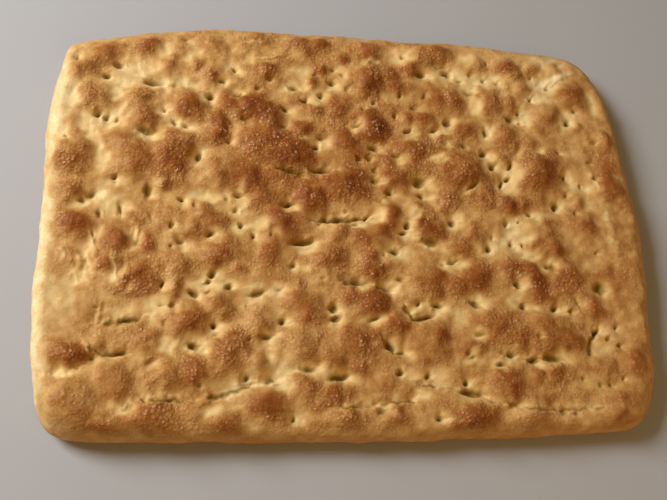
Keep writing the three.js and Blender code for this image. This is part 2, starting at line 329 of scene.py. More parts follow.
# Finger marks of each kind, in rows from the far side to the near side. Slots and pricks are
# (x, y, length, width, turn in degrees) of the hole, basins and hollows are the same of a soft pale dish.
POKES = {
    Poke.SLOT: (
        (-186, 117, 6, 3, 80), (-77, 110, 4, 3, 60), (57, 115, 8, 5, 0), (77, 116, 7, 4, 0),
        (-9, 104, 5, 4, 0), (93, 100, 6, 4, 0), (-132, 97, 14, 4, 0), (-17, 93, 5, 4, 40),
        (-94, 87, 5, 4, 0), (-75, 89, 8, 4, 5), (-29, 88, 5, 4, 30), (-43, 81, 5, 3, -30),
        (120, 80, 7, 4, -10), (73, 75, 6, 5, 0), (62, 68, 6, 3, 15), (101, 68, 7, 4, 90),
        (6, 68, 7, 3, 15), (-137, 59, 12, 5, -8), (-19, 59, 7, 4, 0), (-102, 41, 7, 4, 90),
        (102, 40, 6, 4, 60), (115, 41, 7, 3, 60), (155, 34, 5, 3, 80), (-41, 31, 15, 3, -15),
        (-19, 33, 14, 3, 0), (112, 31, 5, 3, 45), (107, 27, 6, 3, 70), (17, 27, 6, 5, 0),
        (48, 27, 9, 8, 20), (-155, 24, 4, 3, 60), (26, 18, 5, 3, 0), (48, 16, 6, 3, 0),
        (-134, 16, 10, 5, 80), (-169, 12, 6, 4, 30), (-76, 13, 5, 3, 0), (145, 11, 6, 5, 40),
        (-113, 9, 4, 3, 0), (-43, 8, 10, 3, 18), (124, 4, 4, 3, 0), (9, 0, 5, 2, 25),
        (-9, -2, 12, 5, 3), (-19, -2, 6, 3, -20), (68, -3, 6, 5, 0), (1, -6, 5, 2, 0),
        (36, -6, 5, 4, 30), (-75, -8, 4, 4, 0), (33, -11, 6, 3, 0), (-94, -15, 6, 3, 20),
        (-67, -15, 4, 4, 0), (51, -18, 12, 5, -12), (108, -18, 4, 3, 90), (-35, -19, 15, 4, 8),
        (-113, -20, 5, 4, 0), (91, -22, 5, 4, 0), (26, -25, 6, 3, 0), (134, -35, 9, 4, -25),
        (-93, -42, 5, 4, 60), (-96, -47, 4, 3, 0), (108, -48, 6, 4, -40), (168, -49, 9, 8, 30),
        (-124, -49, 5, 3, 80), (-83, -50, 5, 4, 20), (-105, -54, 6, 4, -20), (-65, -54, 10, 4, 20),
        (39, -61, 4, 3, 60), (77, -61, 10, 4, -35), (52, -62, 7, 3, -10), (110, -63, 5, 4, -40),
        (132, -64, 5, 4, 0), (-17, -64, 7, 5, 0), (-16, -71, 8, 4, 20), (9, -71, 7, 3, 25),
        (43, -70, 16, 3, 12), (-143, -71, 14, 3, 4), (-50, -73, 5, 4, 0), (78, -82, 8, 3, -10),
        (-61, -83, 8, 3, 5), (-105, -88, 8, 5, -20), (160, -80, 7, 3, 50), (-150, -93, 15, 3, 4),
        (98, -95, 7, 4, -10), (126, -98, 14, 4, -12), (113, -99, 7, 4, -10), (90, -102, 8, 3, 10),
        (-35, -104, 13, 4, 0), (23, -106, 5, 4, 0), (-16, -109, 14, 4, 12), (41, -109, 5, 4, 60),
        (65, -113, 4, 3, -40), (68, -120, 14, 4, -8), (-45, -134, 4, 3, 80), (46, -136, 5, 5, 0),
        (43, 66, 7, 3, 30), (33, 46, 6, 4, 0), (18, 52, 7, 4, -10), (97, 51, 6, 4, 20),
        (-42, -35, 5, 4, 0), (-23, 52, 5, 4, 0), (-151, 2, 7, 3, 100), (-119, -9, 5, 3, 70),
        (-163, 101, 5, 4, 0), (-168, 71, 5, 4, 80), (-162, 69, 5, 4, 80), (-118, 66, 5, 3, -50),
        (-110, 64, 4, 3, 0), (165, 79, 6, 4, 70), (-86, 100, 4, 3, 20), (-36, 98, 8, 4, -5),
        (-73, -108, 4, 4, 0), (-93, -75, 4, 4, 0), (65, -32, 8, 3, 15), (0, -47, 12, 4, -6),
        (18, -51, 8, 3, -18), (18, -89, 10, 4, -60), (25, -94, 8, 3, -8), (-9, -2, 30, 2, 3),
    ),
    Poke.PRICK: (
        (-111, 133, 3, 2, 0), (45, 127, 4, 3, 0), (108, 125, 3, 3, 0), (86, 110, 5, 3, 0),
        (94, 115, 4, 2, 0), (141, 115, 3, 3, 0), (-8, 114, 5, 3, 0), (104, 111, 4, 3, 0),
        (-1, 110, 4, 3, 0), (-21, 109, 4, 3, 0), (114, 109, 3, 3, 0), (153, 107, 4, 4, 0),
        (2, 99, 5, 4, 60), (138, 97, 4, 4, 0), (-61, 96, 5, 3, 0), (-119, 95, 6, 3, 0),
        (40, 95, 3, 3, 0), (58, 95, 5, 3, 40), (-131, 88, 3, 3, 0), (20, 88, 4, 3, 0),
        (171, 88, 4, 3, 0), (50, 85, 6, 3, 0), (127, 85, 4, 4, 0), (12, 82, 4, 3, 0),
        (35, 78, 3, 3, 0), (128, 77, 4, 3, 0), (-124, 76, 3, 3, 0), (-155, 67, 4, 3, 60),
        (-45, 67, 5, 2, 0), (183, 63, 4, 3, 90), (-83, 62, 3, 3, 0), (-32, 58, 3, 2, 0),
        (154, 54, 4, 3, 0), (-82, 52, 3, 3, 0), (-187, 52, 3, 3, 0), (14, 44, 4, 4, 0),
        (6, 43, 5, 3, 0), (17, 35, 4, 4, 0), (177, 33, 4, 4, 0), (166, 27, 3, 3, 0),
        (154, 19, 3, 3, 0), (19, 12, 5, 3, 0), (-84, 10, 3, 3, 0), (-175, 8, 4, 4, 0),
        (-104, 5, 4, 3, 0), (158, 5, 3, 3, 0), (-5, 4, 3, 3, 0), (-78, 2, 4, 3, 0),
        (-164, -2, 5, 3, 90), (115, -2, 3, 2, 0), (-132, -3, 3, 3, 0), (106, -3, 5, 4, 90),
        (95, -13, 3, 3, 0), (-55, -15, 2, 2, 0), (-167, -16, 6, 2, 90), (116, -20, 2, 2, 0),
        (-140, -21, 6, 3, 90), (-119, -23, 3, 3, 0), (169, -24, 3, 2, 0), (19, -28, 2, 2, 0),
        (58, -34, 4, 3, 0), (-23, -44, 4, 3, 0), (28, -45, 5, 3, 0), (-52, -52, 4, 3, 0),
        (-96, -54, 3, 2, 0), (149, -59, 5, 3, 90), (-124, -62, 5, 2, 0), (-72, -63, 2, 2, 0),
        (-163, -63, 3, 2, 0), (-118, -63, 4, 3, 0), (143, -66, 4, 3, 0), (-122, -75, 6, 3, 90),
        (174, -77, 3, 3, 0), (-91, -81, 5, 3, 0), (117, -84, 3, 3, 0), (-71, -85, 3, 2, 0),
        (167, -85, 4, 3, 0), (174, -90, 4, 3, 0), (68, -95, 4, 3, 0), (-164, -96, 3, 3, 0),
        (71, -97, 5, 3, 0), (145, -111, 3, 3, 0), (173, -112, 3, 3, 0), (-101, -113, 4, 3, 0),
        (156, -116, 4, 4, 0), (163, -116, 3, 3, 0), (-87, -120, 4, 3, 0), (-118, -122, 3, 2, 0),
        (128, -133, 4, 4, 0), (136, -135, 4, 4, 0), (69, 57, 5, 4, 0), (83, 56, 5, 4, 0),
        (-53, 104, 6, 4, -20), (-142, -126, 6, 4, 30), (-130, -98, 8, 4, 20), (-155, 109, 6, 4, 20),
        (177, 47, 6, 3, 10), (84, 23, 11, 3, 35), (10, -130, 7, 4, 20), (-71, 70, 6, 3, 0),
        (-92, -120, 9, 3, 5), (153, -93, 8, 3, 105),
    ),
    Poke.BASIN: (
        (45, 130, 22, 16, 0), (-125, 124, 14, 14, 0), (78, 115, 34, 12, 0), (-141, 108, 26, 14, 0),
        (-75, 111, 12, 12, 0), (110, 110, 44, 12, 0), (157, 111, 16, 15, 40), (-157, 91, 10, 14, 0),
        (-150, 98, 30, 8, 0), (-110, 98, 26, 8, 0), (-35, 98, 26, 12, 0), (-18, 95, 14, 14, 0),
        (95, 91, 11, 22, 0), (141, 97, 12, 10, 0), (-182, 85, 8, 24, 0), (-94, 88, 15, 10, 0),
        (-25, 87, 16, 10, 0), (131, 82, 16, 13, 0), (166, 81, 16, 20, 0), (-158, 70, 24, 20, 0),
        (-125, 76, 10, 8, 0), (-115, 66, 18, 10, -30), (62, 68, 12, 8, 0), (-187, 55, 8, 10, 0),
        (-172, 62, 12, 26, 30), (-135, 60, 16, 9, 0), (-18, 57, 22, 14, 0), (139, 55, 6, 6, 0),
        (64, 44, 12, 6, 35), (-164, 38, 9, 26, 0), (100, 40, 11, 14, 0), (114, 32, 18, 26, -15),
        (-173, 9, 16, 10, 20), (-95, 12, 32, 9, 0), (-155, 3, 16, 20, 0), (-72, 4, 10, 30, 0),
        (18, 1, 9, 14, 0), (44, 2, 12, 12, 0), (71, 0, 16, 16, 0), (112, -2, 14, 9, 0),
        (127, 4, 14, 7, 20), (-75, -10, 18, 14, 0), (-63, -8, 14, 10, -30), (37, -7, 18, 13, 0),
        (108, -14, 12, 9, 0), (120, -14, 12, 8, -20), (-141, -18, 10, 14, 0), (26, -24, 26, 13, 0),
        (50, -18, 16, 7, 0), (92, -22, 18, 12, 0), (121, -27, 14, 12, 0), (-173, -38, 14, 30, -15),
        (65, -33, 22, 8, 25), (133, -34, 18, 11, 0), (-94, -45, 20, 15, 45), (-85, -48, 18, 11, 0),
        (-50, -50, 18, 9, 0), (24, -50, 15, 9, 0), (109, -50, 10, 7, -40), (-124, -60, 14, 16, 0),
        (-64, -55, 20, 11, 20), (80, -60, 26, 12, -25), (-147, -66, 26, 15, 0), (-91, -78, 18, 14, 0),
        (8, -71, 16, 8, 0), (43, -66, 16, 8, 10), (45, -66, 30, 14, 8), (-119, -88, 20, 8, 0),
        (-105, -88, 17, 12, 0), (72, -97, 16, 8, 0), (89, -102, 14, 8, 0), (98, -95, 20, 12, 0),
        (-180, -103, 28, 8, -15), (-53, -113, 26, 9, -8), (-35, -103, 22, 9, 0),
        (-18, -108, 28, 11, 0), (42, -108, 22, 13, 0), (-147, -125, 18, 10, 20), (35, -121, 14, 7, 0),
        (-90, -128, 32, 8, 10), (12, -127, 16, 7, 0),
    ),
    Poke.HOLLOW: (
        (95, 130, 16, 14, 0), (-105, 119, 26, 10, 20), (-74, 125, 14, 7, 20), (-62, 120, 30, 8, 15),
        (-30, 124, 20, 8, 0), (-52, 103, 14, 8, 0), (-30, 112, 30, 14, 0), (0, 110, 22, 24, 0),
        (60, 113, 28, 14, 0), (92, 103, 14, 10, 0), (40, 94, 40, 13, 0), (188, 95, 14, 30, 0),
        (-45, 88, 28, 16, -20), (20, 86, 16, 8, 0), (-77, 69, 14, 13, 0), (-35, 75, 28, 9, -10),
        (4, 70, 11, 6, 0), (45, 68, 40, 11, 0), (73, 75, 22, 12, 0), (103, 71, 11, 16, 0),
        (70, 57, 16, 9, 0), (185, 62, 12, 20, 0), (18, 54, 16, 8, 0), (97, 51, 20, 11, 0),
        (124, 51, 9, 14, 0), (162, 54, 14, 14, 0), (178, 48, 9, 8, 0), (-12, 36, 10, 5, 30),
        (-28, 29, 14, 8, 0), (17, 26, 12, 36, 0), (48, 25, 14, 18, 0), (84, 22, 14, 7, 25),
        (162, 30, 26, 28, 0), (-140, 15, 12, 18, 0), (-118, 12, 22, 11, 0), (36, 14, 42, 10, 3),
        (149, 12, 22, 14, 0), (-82, 6, 22, 18, 0), (-6, 0, 46, 17, 0), (0, 4, 24, 10, 0),
        (118, -6, 34, 26, 0), (-28, -15, 42, 9, 5), (157, -12, 12, 20, 0), (-188, -22, 8, 28, 0),
        (-122, -20, 11, 15, 0), (166, -34, 20, 20, 0), (-108, -52, 20, 11, 0), (-22, -43, 26, 10, 0),
        (6, -47, 34, 7, -5), (168, -48, 24, 18, 0), (-178, -62, 16, 24, 0), (-146, -60, 36, 17, 0),
        (-73, -60, 13, 20, 0), (65, -65, 13, 24, 0), (106, -56, 18, 24, 0), (136, -64, 24, 12, 0),
        (151, -57, 12, 10, 0), (-129, -70, 12, 22, 0), (-50, -68, 20, 14, 0), (-15, -66, 28, 19, 0),
        (-62, -84, 18, 7, 0), (80, -82, 20, 9, 0), (162, -86, 30, 28, 0), (-160, -97, 26, 6, 0),
        (-150, -93, 24, 9, 0), (-135, -92, 24, 14, 20), (-55, -96, 8, 5, 0), (23, -90, 26, 16, 0),
        (116, -98, 50, 8, 0), (-96, -112, 52, 14, 8), (25, -104, 30, 10, 0), (152, -112, 40, 13, 0),
        (65, -118, 18, 9, 0), (-40, -132, 16, 8, 0), (14, -131, 12, 12, 0), (112, -132, 70, 8, -4),
    ),
}

# Where the oven's heat was weaker or stronger than on average, and patches of painted light
# and shade: browner where a dish lies in shade, paler along crests that catch the light:
# (x, y, reach along X, reach along Y, change of the browning)
HEAT_AND_PAINTED_LIGHT = (
    (-206, -95, 13, 48, -0.30), (-172, -124, 24, 16, -0.03), (-82, -119, 12, 7, -0.10),
    (-32, -139, 14, 7, 0.12), (-207, -10, 12, 50, -0.28), (-199, 85, 16, 45, -0.28),
    (0, -150, 170, 9, -0.06), (-150, -147, 40, 8, -0.08), (70, -140, 14, 12, 0.12),
    (-155, 127, 30, 7, 0.08), (-183, 115, 9, 7, 0.20), (140, 134, 45, 9, -0.20),
    (160, 108, 26, 26, -0.20), (110, 108, 26, 16, -0.08), (0, 62, 75, 48, 0.08),
    (-30, 20, 32, 22, 0.06), (-60, -106, 26, 18, -0.15), (-100, -117, 14, 6, 0.12),
    (30, -99, 10, 8, 0.12), (-185, -60, 8, 14, -0.12), (112, -10, 20, 14, -0.12),
    (182, 14, 12, 12, -0.12), (-100, 60, 12, 45, -0.08), (-150, 3, 20, 16, 0.05),
    (-146, -66, 20, 16, 0.10), (-132, -8, 16, 20, 0.10), (-165, -6, 5, 10, -0.20),
    (-152, -38, 6, 12, -0.20), (-68, -138, 10, 6, -0.20), (179, 32, 6, 12, -0.20),
    (24, 122, 12, 5, -0.15), (166, 119, 9, 5, -0.22), (40, 121, 18, 6, 0.15), (28, -80, 20, 20, 0.08),
    (5, -118, 30, 12, 0.08), (160, -80, 12, 8, 0.10), (146, -48, 20, 16, 0.14),
    (182, -42, 12, 14, 0.14), (-40, -38, 14, 10, 0.08), (192, -5, 12, 45, 0.07), (176, -44, 8, 8, 0.15),
    (192, 52, 10, 14, 0.20), (-145, 78, 32, 38, -0.10), (22, 52, 14, 26, 0.12), (22, 22, 12, 12, 0.10),
    (-40, 90, 18, 16, 0.07), (42, 98, 14, 10, 0.08), (-120, 61, 10, 8, 0.09), (-120, 20, 10, 8, 0.08),
    (-160, 20, 10, 10, -0.12), (-120, 101, 10, 9, -0.10), (162, 122, 12, 6, 0.10),
    (-105, -121, 14, 7, 0.08), (150, -122, 20, 7, 0.09),
)


@dataclass(frozen=True)
class Crease:
    """A fold line of the skin, or a thin wrinkle standing proud of it where its depth is negative.

    A fold sinks gently from its far side and comes up steeply on its near side, in a thin lip.

    Attributes:
        depth: how deep it is.
        width: how wide its flanks are.
        path: the points it runs through, as (x, y), from left to right or from far to near.
    """

    depth: float
    width: float
    path: tuple[tuple[float, float], ...]

    def measure(self, spots: Spots, sight: Sight, level: float) -> tuple[Values, Values, Values]:
        """Finds how each point lies to the crease's line.

        Args:
            spots: the points' places.
            sight: the camera, along whose lines of sight the line settles.
            level: the height over the bottom at which it settles.

        Returns:
            How far off the line each point is, the same but negative on the line's near side, and
            how far along the line it is, from 0 to 1.
        """
        path = [sight.settle(place, level) for place in self.path]
        away = np.full(spots.shape[1], np.inf)
        beyond, gone, length = np.zeros_like(away), np.zeros_like(away), 0.0
        for start, end in zip(path, path[1:]):
            run = end - start
            stretch = math.hypot(*run[:, 0])
            share = (((spots - start) * run).sum(axis=0) / stretch**2).clip(0, 1)
            off_x, off_y = spots - start - share * run
            apart = np.hypot(off_x, off_y)
            closer = apart < away
            beyond = np.where(closer, np.sign(run[0] * off_y - run[1] * off_x) * apart, beyond)
            gone = np.where(closer, length + share * stretch, gone)
            away = np.minimum(away, apart)
            length += stretch
        return away, beyond, gone / length


CREASES = (
    Crease(3.8, 2.9, ((-130, -121), (-100, -121), (-88, -119), (-76, -115), (-66, -112), (-56, -110))),
    Crease(2.2, 1.6, ((-13, -128), (11, -126), (31, -124))),
    Crease(2.0, 1.5, ((38, -114), (56, -116))),
    Crease(2.2, 1.7, ((78, -122), (83, -125), (99, -129), (108, -131))),
    Crease(1.6, 1.8, ((108, -131), (156, -131))),
    Crease(1.4, 1.8, ((-185, -104), (-170, -101))),
    Crease(3.4, 1.8, ((-7, -46), (8, -48), (14, -50), (22, -52))),
    Crease(2.4, 1.6, ((15, -85), (17, -90), (22, -93), (28, -93))),
    Crease(1.2, 1.5, ((70, 121), (80, 122))),
    Crease(2.0, 1.8, ((160, -79), (156, -84), (153, -92))),
    Crease(2.8, 1.6, ((-48, 33), (-41, 31), (-33, 29))),
    Crease(2.6, 2.2, ((-26, 34), (-19, 33), (-12, 34))),
    Crease(2.4, 3.0, ((-21, -3), (-10, -2), (-2, -3), (9, 0))),
    Crease(4.0, 4.5, ((-154, -73), (-147, -72), (-138, -70))),
    Crease(1.4, 1.4, ((-163, -90), (-155, -93), (-144, -92))),
    Crease(2.4, 2.2, ((31, -64), (36, -71), (44, -71), (52, -67))),
    Crease(1.5, 1.4, ((94, -95), (108, -98), (118, -97), (130, -100))),
    Crease(-0.7, 1.3, ((-184, -22), (-181, -36))),
    Crease(-0.9, 2.2, ((-171, -28), (-175, -44))),
    Crease(-0.9, 1.4, ((-167, -12), (-164, -30), (-162, -45))),
    Crease(-0.9, 1.3, ((-154, -25), (-151, -38), (-151, -52))),
    Crease(-0.8, 1.3, ((-140, -9), (-137, -20))),
    Crease(-0.8, 1.5, ((-143, -34), (-148, -48))),
    Crease(-0.8, 1.3, ((-160, -62), (-160, -76))),
    Crease(-1.2, 1.5, ((-168, -80), (-166, -88), (-163, -95))),
    Crease(-1.0, 1.6, ((-107, -93), (-95, -88))),
    Crease(-1.0, 1.7, ((-72, 131), (-58, 132), (-50, 135))),
    Crease(-1.3, 1.6, ((-66, 117), (-60, 120), (-50, 121), (-40, 124))),
    Crease(-0.8, 1.4, ((141, -68), (146, -70), (149, -66))),
    Crease(-1.2, 2.2, ((176, 40), (179, 30), (181, 20))),
    Crease(-0.7, 3.4, ((181, 20), (183, -6), (184, -36))),
    Crease(-1.2, 2.2, ((12, 119), (24, 123), (34, 119))),
    Crease(-1.7, 2.4, ((150, 108), (160, 114), (170, 119), (180, 121))),
)


# ------------------------------------------------------------------ the relief of the top
@dataclass
class Survey:
    """What the relief is like at each point of the plan.

    Attributes:
        height: the top's height over the bottom.
        slant: how far the point leans towards the near side.
        browning: how brown the crust is, from 0 to 1.
        hollow: how deep in a finger's dish the point is, from 0 to 1.
        pit: how deep in a finger's hole or in a fold's dark line the point is, from 0 to 1, for painted
            shade.
        grain: how finely blistered the crust is, from 0 to 1.
    """

    height: Values
    slant: Values
    browning: Values
    hollow: Values
    pit: Values
    grain: Values


@dataclass
class Folds:
    """What the folds and wrinkles of the skin are like at each point of the plan.

    Attributes:
        depth: how deep the point lies in a fold.
        slit: how far it is in the fold's dark line of painted shade, from 0 to 1.
        moist: how far it is in the pale skin beside that line, from 0 to 1.
        away: how far off the nearest fold's line is.
    """

    depth: Values
    slit: Values
    moist: Values
    away: Values

    FLANKS = 2.4, 0.75  # reach of a fold's far flank and near flank, in widths
    LIP = 0.3, 1.6  # its lip's height in depths, and how far before its line it stands in widths
    STRONG = 2.0  # depth from which its dark line and its pale strip are at their strongest
    LINE = 0.45, 0.4  # reach of its dark line of painted shade, and how much more for each millimetre of its width
    # how dark the painted shade on a fold's line is
    DARKNESS = 0.85
    STRIP = 0.9, 1.9  # how far beyond its line its pale strip lies, and the strip's reach, in widths
    PALENESS = 0.5

    def raise_wrinkle(self, wrinkle: Crease, away: Values, gone: Values) -> None:
        """Adds a wrinkle, which dies out towards its ends.

        Args:
            wrinkle: the wrinkle.
            away: how far off its line each point is.
            gone: how far along its line each point is, from 0 to 1.
        """
        crest = np.exp(-((away / wrinkle.width) ** 2)) * np.sin(math.pi * gone)
        self.depth += wrinkle.depth * crest
        self.moist = np.maximum(self.moist, self.PALENESS * crest)

    def sink(self, fold: Crease, away: Values, beyond: Values) -> None:
        """Adds a fold, with its lip, its dark line of painted shade and its pale strip.

        Args:
            fold: the fold.
            away: how far off its line each point is.
            beyond: the same, but negative on the line's near side.
        """
        across = beyond / fold.width
        reach = fold.width * np.where(beyond > 0, *self.FLANKS)
        lip = self.LIP[0] * fold.depth * np.exp(-((across + self.LIP[1]) ** 2))
        self.depth = np.maximum(self.depth, fold.depth * np.exp(-((away / reach) ** 2))) - lip
        strength = min(1.0, fold.depth / self.STRONG)
        line = self.LINE[0] + self.LINE[1] * fold.width
        self.slit = np.maximum(self.slit, self.DARKNESS * strength * np.exp(-((away / line) ** 2)))
        strip = np.exp(-(((across - self.STRIP[0]) / self.STRIP[1]) ** 2))
        self.moist = np.maximum(self.moist, self.PALENESS * strength * strip)


@dataclass(frozen=True)
class Relief:
    """The top of the bread: mounds, finger marks, folds, wrinkles and blisters."""

    sight: Sight
    valley: float = 20.5  # height of the crust between the mounds
    swells: Layers = (
        (0.9, Swell(70, 5)), (1.1, Swell(22, 6)), (0.75, Swell(10, 7)), (0.35, Swell(5.5, 8)),
        (0.12, Swell(3.0, 9)),
    )  # unevenness of the height
    bends: tuple[Layers, Layers] = (
        ((3.0, Swell(24, 1)), (1.6, Swell(8, 2))),
        ((3.0, Swell(24, 3)), (1.6, Swell(8, 4))),
    )  # bend the outlines of mounds and dishes along X and along Y
    crinkles: tuple[Layers, Layers] = (
        ((1.4, Swell(5, 24)),),
        ((1.4, Swell(5, 25)),),
    )  # the same for finger marks and folds alone

    mound_level: float = 27.0  # height at which a mound shows
    mound_rise: float = 0.57  # rise of a mound with a radius of 1 mm
    mound_growth: float = 0.9  # the power of the radius by which larger mounds rise higher
    mound_spread: float = 0.96  # a mound's soft reach, in radii
    mound_roundness: float = 2.4  # 2 is a bell, more has a flatter top and steeper sides
    mound_blend: float = 2.2  # how far neighbouring mounds keep their own tops
    bake_spread: float = 1.15  # the soft reach of a mound's browning, in radii

    poke_level: float = 21.0  # height at which a finger mark shows
    poke_slant: float = 0.2  # a hole runs this far to the near side for each millimetre down
    hole_shift: tuple[float, float] = (1.5, 0.5)  # from a hole's shaded side, which the layout gives
    hole_share: tuple[float, float] = (0.45, 0.1)  # of its kind's depth, and more for each mm of width
    hole_length: float = 3.0  # so many millimetres of length count like one of width
    hole_chance: tuple[float, float] = (0.7, 1.1)  # seeded unevenness of its depth
    hole_seed: int = 31
    hole_edge: float = 1.2  # more has steeper walls
    dish_shift: tuple[float, float] = (2.0, -0.7)  # from the hole to the dish that the fingertip left
    dish_edge: tuple[float, float] = (1.5, 1.3)  # how narrow a dish is, and how steep its walls are
    wet_edge: float = 1.2  # how narrow its paleness is
    slit_shape: tuple[float, float] = (3.8, 4.8)  # so many times as long as wide, a hole is only a slit
    slit_loss: tuple[float, float] = (0.85, 0.5)  # the share of its dish and paleness that a slit lacks

    wrinkles: tuple[tuple[Swell, tuple[float, float]], ...] = (
        (Swell(9, 15), (1.5, 0.6)),
        (Swell(9, 16), (0.8, 1.2)),
    )  # upright and level ones, with how their swell is squeezed along X and along Y
    wrinkle_height: float = 0.95
    wrinkle_edge: int = 7  # more has thinner wrinkles
    wrinkle_dry: float = 0.2  # the share of its height that a wrinkle has in dry crust
    upright_range: tuple[float, float] = (-110.0, -150.0)  # between these places the wrinkles turn upright

    oil: Layers = ((0.20, Swell(15, 17)), (0.14, Swell(6, 18)))  # unevenness of the paleness
    moist_range: tuple[float, float] = (0.1, 1.1)  # paleness from which and to which crust turns moist
    hollow_range: tuple[float, float] = (0.15, 1.15)  # the same for the look of a dish
    pit_depth: float = 2.8  # where a hole is this deep, its painted shade is full
    slit_swell: Swell = Swell(10, 7)  # breaks a fold's painted dark line
    slit_range: tuple[float, float] = (-0.7, 0.2)  # from where the line is gone to where it is whole

    plain: float = 0.48  # browning of the plain crust
    blotches: Layers = (
        (0.05, Swell(22, 6)), (0.07, Swell(10, 7)), (0.07, Swell(5.5, 8)), (0.05, Swell(3.0, 9)),
    )  # unevenness of the browning
    moist_loss: tuple[float, float, float] = (0.55, 0.4, 0.36)  # of the mounds, the blotches and the rest

    grain_range: tuple[float, float] = (0.32, 0.75)  # the browning at which blisters begin and are densest
    grain_swell: Swell = Swell(34, 19)
    grain_share: tuple[float, float, float] = (0.7, 0.5, 0.25)  # mean, unevenness and least of the density
    smooth_right: tuple[float, float] = (120.0, 180.0)  # between these places the blisters die out
    smooth_loss: float = 0.6  # by this share
    bubbles: Bubbles = Bubbles(3.6, (0.9, 1.9), 0.7, 14)
    bubble_height: float = 0.3

    fine_share: float = 0.08  # where a hole is deeper than this share, the mesh is finer
    fine_reach: float = 3.4  # and where a fold is closer than this

    def survey(self, spots: Spots) -> Survey:
        """Works out the relief and the bake at each point.

        Args:
            spots: the points' places over the middle of the bottom.

        Returns:
            The survey of these points.
        """
        bent = spots + [heave(bends, spots) for bends in self.bends]
        curl = np.array([heave(crinkles, spots) for crinkles in self.crinkles])
        rise, bake = self._mounds(bent)
        hole, dish, wet = self._pokes(spots + curl / 2, bent + curl)
        folds = self._folds(spots + curl)

        wet += heave(self.oil, spots)
        moist = np.maximum(fade(wet, *self.moist_range), folds.moist)
        off_mounds, off_blotches, off_all = (loss * moist for loss in self.moist_loss)
        browning = self.plain + bake * (1 - off_mounds) + self._heat_and_painted_light(spots) - off_all
        browning += heave(self.blotches, spots) * (1 - off_blotches)
        mean, change, least = self.grain_share
        patches = (mean + change * self.grain_swell.at(spots)).clip(least, 1)
        grain = fade(browning, *self.grain_range) * patches
        grain *= 1 - self.smooth_loss * fade(spots[0], *self.smooth_right)

        height = self.valley + rise - hole - dish - folds.depth + heave(self.swells, spots)
        height += self._wrinkles(spots) * (self.wrinkle_dry + (1 - self.wrinkle_dry) * moist)
        height += self.bubble_height * self.bubbles.at(spots) * grain
        slit = folds.slit * fade(self.slit_swell.at(spots), *self.slit_range)
        return Survey(
            height=height,
            slant=self.poke_slant * hole,
            browning=np.clip(browning, 0, 1),
            hollow=fade(wet, *self.hollow_range),
            # painted shade: full deep in a hole and on a fold's dark line
            pit=np.clip(np.maximum(hole / self.pit_depth, slit), 0, 1),
            grain=grain,
        )

    def needs_detail(self, spots: Spots) -> Values:
        """Tells where a hole's or a fold's wall needs a finer mesh.

        Args:
            spots: the points' places.

        Returns:
            True at each point that does.
        """
        deep = self._pokes(spots, spots)[0] > self.fine_share * Poke.SLOT.value[0]
        return deep | (self._folds(spots).away < self.fine_reach)

    def _mounds(self, spots: Spots) -> tuple[Values, Values]:
        """Adds up the mounds at each point.

        Args:
            spots: the points' places.

        Returns:
            Their rise, and how brown they are.
        """
        total, bake = np.zeros((2, spots.shape[1]))
        for tone, mounds in MOUNDS.items():
            for *seen, radius in mounds:
                away = np.hypot(*(spots - self.sight.settle(seen, self.mound_level))) / radius
                dome = np.exp(-((away / self.mound_spread) ** self.mound_roundness))
                total += (self.mound_rise * radius**self.mound_growth * dome) ** self.mound_blend
                bake = np.maximum(bake, tone.value * np.exp(-((away / self.bake_spread) ** 2)))
        return total ** (1 / self.mound_blend), bake

    def _heat_and_painted_light(self, spots: Spots) -> Values:
        """Adds up how much the oven's uneven heat, and the painted light and shade, change the browning.

        Args:
            spots: the points' places.

        Returns:
            The change at each point.
        """
        change = np.zeros(spots.shape[1])
        for *seen, reach_x, reach_y, amount in HEAT_AND_PAINTED_LIGHT:
            away = (spots - self.sight.settle(seen, self.mound_level)) / [[reach_x], [reach_y]]
            change += amount * np.exp(-(away**2).sum(axis=0))
        return change

    def _pokes(self, spots: Spots, bent: Spots) -> tuple[Values, Values, Values]:
        """Finds the deepest finger mark at each point.

        Args:
            spots: the points' places.
            bent: the same, bent by noise, for the dishes.

        Returns:
            The depth of its hole, that of the dish round it, and how pale the dish is.
        """
        hole, dish, wet = np.zeros((3, spots.shape[1]))
        chance = np.random.default_rng(self.hole_seed)
        for kind, marks in POKES.items():
            hole_depth, dish_depth, reach, paleness = kind.value
            shifts = (self.hole_shift, self.dish_shift) if hole_depth > 0 else ((0, 0), (0, 0))
            hole_shift, dish_shift = (np.array(shift)[:, None] for shift in shifts)
            for *seen, length, width, turn in marks:
                cos, sin = math.cos(math.radians(turn)), math.sin(math.radians(turn))
                turned, half = np.array([[cos, sin], [-sin, cos]]), np.array([[length], [width]]) / 2
                mid = self.sight.settle(seen, self.poke_level) + hole_shift
                narrow = ((turned @ (spots - mid) / half) ** 2).sum(axis=0)
                broad = ((turned @ (bent - mid - dish_shift) / (half + reach)) ** 2).sum(axis=0)
                share = self.hole_share[0] + self.hole_share[1] * max(width, length / self.hole_length)
                depth = hole_depth * min(1.0, share) * chance.uniform(*self.hole_chance)
                slit = fade(length / width, *self.slit_shape)
                bowl = dish_depth * (1 - self.slit_loss[0] * slit)
                pale = paleness * (1 - self.slit_loss[1] * slit)
                hole = np.maximum(hole, depth * np.exp(-(narrow**self.hole_edge)))
                dish = np.maximum(dish, bowl * np.exp(-self.dish_edge[0] * broad ** self.dish_edge[1]))
                wet = np.maximum(wet, pale * np.exp(-self.wet_edge * broad))
        return hole, dish, wet

    def _folds(self, spots: Spots) -> Folds:
        """Lays the folds and wrinkles over one another at each point.

        Args:
            spots: the points' places.

        Returns:
            The folds at the points.
        """
        folds = Folds(*np.zeros((3, spots.shape[1])), np.full(spots.shape[1], np.inf))
        for crease in CREASES:
            away, beyond, gone = crease.measure(spots, self.sight, self.poke_level)
            folds.away = np.minimum(folds.away, away)
            if crease.depth < 0:
                folds.raise_wrinkle(crease, away, gone)
            else:
                folds.sink(crease, away, beyond)
        return folds

